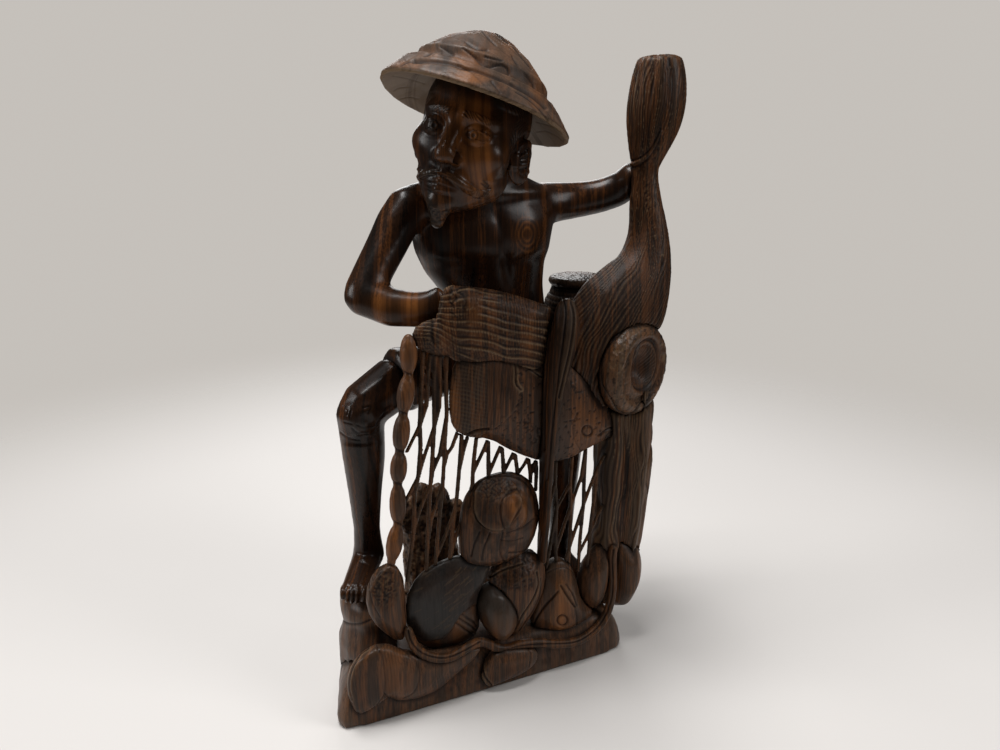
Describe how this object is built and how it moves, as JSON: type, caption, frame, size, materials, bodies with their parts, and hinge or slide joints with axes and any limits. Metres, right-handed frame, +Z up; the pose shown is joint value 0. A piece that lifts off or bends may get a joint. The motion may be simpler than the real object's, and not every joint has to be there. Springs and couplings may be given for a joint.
{
  "type": "carved wooden figure",
  "caption": "Free-standing dark hardwood carving of a seated fisherman in a brimmed hat who holds up a full net with open strands, on a rocky foot.",
  "frame": {"origin": "on the supporting surface, under the middle of the carving's bounding box", "axes": "+Z up, the front of the carving faces -Y, and its raised arm points along +X"},
  "size_m": [0.2466, 0.1208, 0.4017],
  "materials": {
    "polished": "polished",
    "hat": "carved, waxed",
    "net": "carved, waxed",
    "catch": "carved, satin",
    "rock": "carved, satin",
    "creel": "carved, waxed"
  },
  "bodies": {
    "root": {"back_rock": "rock", "coral_rock": "rock", "creel": "creel", "creel_lid": "creel", "end_lobe_front": "net", "end_lobe_left": "net", "end_lobe_side": "net", "flat_stone": "rock", "float_1": "net", "float_2": "net", "float_3": "net", "float_4": "net", "float_5": "net", "float_6": "net", "foot_rock": "rock", "front_lobe_left": "rock", "front_lobe_middle": "rock", "hat": "hat", "head": "polished", "hem_rope": "net", "hooded_shell": "catch", "large_fish": "catch", "left_arm": "polished", "left_leg": "polished", "left_strands": "net", "lower_fish": "catch", "middle_strands": "net", "mussel_leaf": "catch", "mussel_shell": "catch", "net_band": "net", "net_bundle": "net", "net_crown": "net", "net_drape": "net", "net_fold": "net", "right_forearm": "polished", "right_leg": "polished", "right_strands": "net", "right_upper_arm": "polished", "rocky_base": "rock", "rosette": "catch", "rosette_leaf": "catch", "shorts": "polished", "torso": "polished"}
  },
  "joints": []
}
